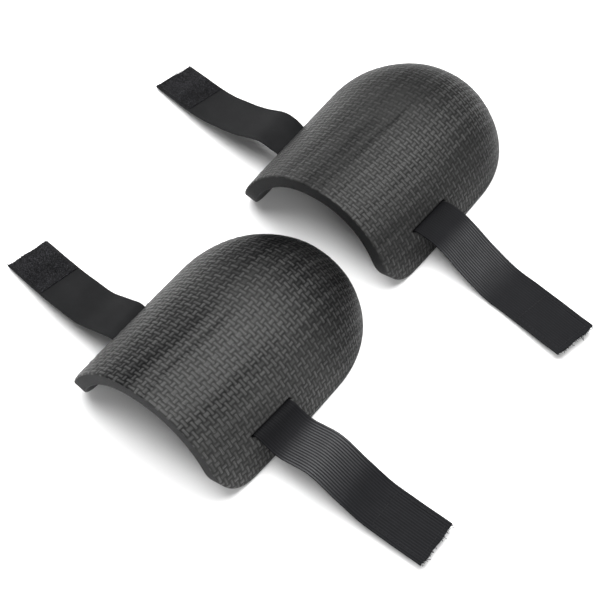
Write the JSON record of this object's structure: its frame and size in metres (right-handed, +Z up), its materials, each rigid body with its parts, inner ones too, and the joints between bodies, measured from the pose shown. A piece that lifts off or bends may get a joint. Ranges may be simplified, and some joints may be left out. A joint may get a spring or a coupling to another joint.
{
  "type": "knee pads",
  "caption": "Pair of moulded foam knee pads, each a textured half-dome cup open at the shin end, with a ribbed elastic strap and a smooth tape that close behind the knee.",
  "frame": {"origin": "the middle of the pair's bounding box, on the surface that both pads stand on", "axes": "+Z up through the pads' crests, +Y from the front pad's open end towards the rear pad's dome, +X towards the ribbed elastic tails"},
  "size_m": [0.4486, 0.4424, 0.0798],
  "materials": {
    "foam": "embossed satin",
    "elastic": "ribbed woven satin",
    "tape": "matt woven",
    "hook": "fine plastic hooks",
    "loop": "fuzzy pile",
    "thread": "twisted thread"
  },
  "bodies": {
    "front_pad": {"front_foam_pad": "foam", "front_elastic_span": "elastic", "front_tape_span": "tape", "front_lap_stitching": "thread"},
    "front_elastic_root": {"front_elastic_tail_root": "elastic"},
    "front_elastic_middle": {"front_elastic_tail_middle": "elastic"},
    "front_elastic_end": {"front_elastic_tail_end": "elastic", "front_hook_patch": "hook", "front_hook_stitching": "thread"},
    "front_tape_root": {"front_tape_tail_root": "tape"},
    "front_tape_middle": {"front_tape_tail_middle": "tape"},
    "front_tape_end": {"front_tape_tail_end": "tape", "front_loop_patch": "loop", "front_loop_stitching": "thread"},
    "rear_pad": {"rear_foam_pad": "foam", "rear_elastic_span": "elastic", "rear_tape_span": "tape", "rear_lap_stitching": "thread"},
    "rear_elastic_root": {"rear_elastic_tail_root": "elastic"},
    "rear_elastic_middle": {"rear_elastic_tail_middle": "elastic"},
    "rear_elastic_end": {"rear_elastic_tail_end": "elastic", "rear_hook_patch": "hook", "rear_hook_stitching": "thread"},
    "rear_tape_root": {"rear_tape_tail_root": "tape"},
    "rear_tape_middle": {"rear_tape_tail_middle": "tape"},
    "rear_tape_end": {"rear_tape_tail_end": "tape", "rear_loop_patch": "loop", "rear_loop_stitching": "thread"}
  },
  "joints": [
    {"name": "rear_pad_set_apart", "type": "slide", "parent": "front_pad", "child": "rear_pad", "axis": [0, 1, 0], "range_m": [0, 0.1]},
    {"name": "front_elastic_lift", "type": "hinge", "parent": "front_pad", "child": "front_elastic_root", "pos_m": [0.07927, -0.15778, 0.03343], "axis": [0, -1, 0], "range_deg": [-40, 75]},
    {"name": "front_elastic_fold", "type": "hinge", "parent": "front_elastic_root", "child": "front_elastic_middle", "pos_m": [0.12684, -0.15778, 0.02924], "axis": [0, -1, 0], "range_deg": [-75, 60]},
    {"name": "front_elastic_end_fold", "type": "hinge", "parent": "front_elastic_middle", "child": "front_elastic_end", "pos_m": [0.17247, -0.15778, 0.00928], "axis": [0, -1, 0], "range_deg": [-45, 60]},
    {"name": "front_tape_lift", "type": "hinge", "parent": "front_pad", "child": "front_tape_root", "pos_m": [-0.06347, -0.15778, 0.03343], "axis": [0, 1, 0], "range_deg": [-40, 75]},
    {"name": "front_tape_fold", "type": "hinge", "parent": "front_tape_root", "child": "front_tape_middle", "pos_m": [-0.09918, -0.15653, 0.018], "axis": [0.0732, 0.9973, 0], "range_deg": [-75, 60]},
    {"name": "front_tape_end_fold", "type": "hinge", "parent": "front_tape_middle", "child": "front_tape_end", "pos_m": [-0.13751, -0.15242, 0.01252], "axis": [0.146, 0.9893, 0], "range_deg": [-45, 60]},
    {"name": "rear_elastic_lift", "type": "hinge", "parent": "rear_pad", "child": "rear_elastic_root", "pos_m": [0.0656, 0.06604, 0.03343], "axis": [0.0244, -0.9997, 0], "range_deg": [-40, 75]},
    {"name": "rear_elastic_fold", "type": "hinge", "parent": "rear_elastic_root", "child": "rear_elastic_middle", "pos_m": [0.11296, 0.06516, 0.0134], "axis": [-0.0657, -0.9978, 0], "range_deg": [-75, 60]},
    {"name": "rear_elastic_end_fold", "type": "hinge", "parent": "rear_elastic_middle", "child": "rear_elastic_end", "pos_m": [0.16292, 0.0598, 0.00389], "axis": [-0.1553, -0.9879, 0], "range_deg": [-45, 60]},
    {"name": "rear_tape_lift", "type": "hinge", "parent": "rear_pad", "child": "rear_tape_root", "pos_m": [-0.0771, 0.06256, 0.03343], "axis": [-0.0244, 0.9997, 0], "range_deg": [-40, 75]},
    {"name": "rear_tape_fold", "type": "hinge", "parent": "rear_tape_root", "child": "rear_tape_middle", "pos_m": [-0.1232, 0.06358, 0.02427], "axis": [0.0707, 0.9975, 0], "range_deg": [-75, 60]},
    {"name": "rear_tape_end_fold", "type": "hinge", "parent": "rear_tape_middle", "child": "rear_tape_end", "pos_m": [-0.16991, 0.06915, 0.01095], "axis": [0.1652, 0.9863, 0], "range_deg": [-45, 60]}
  ]
}
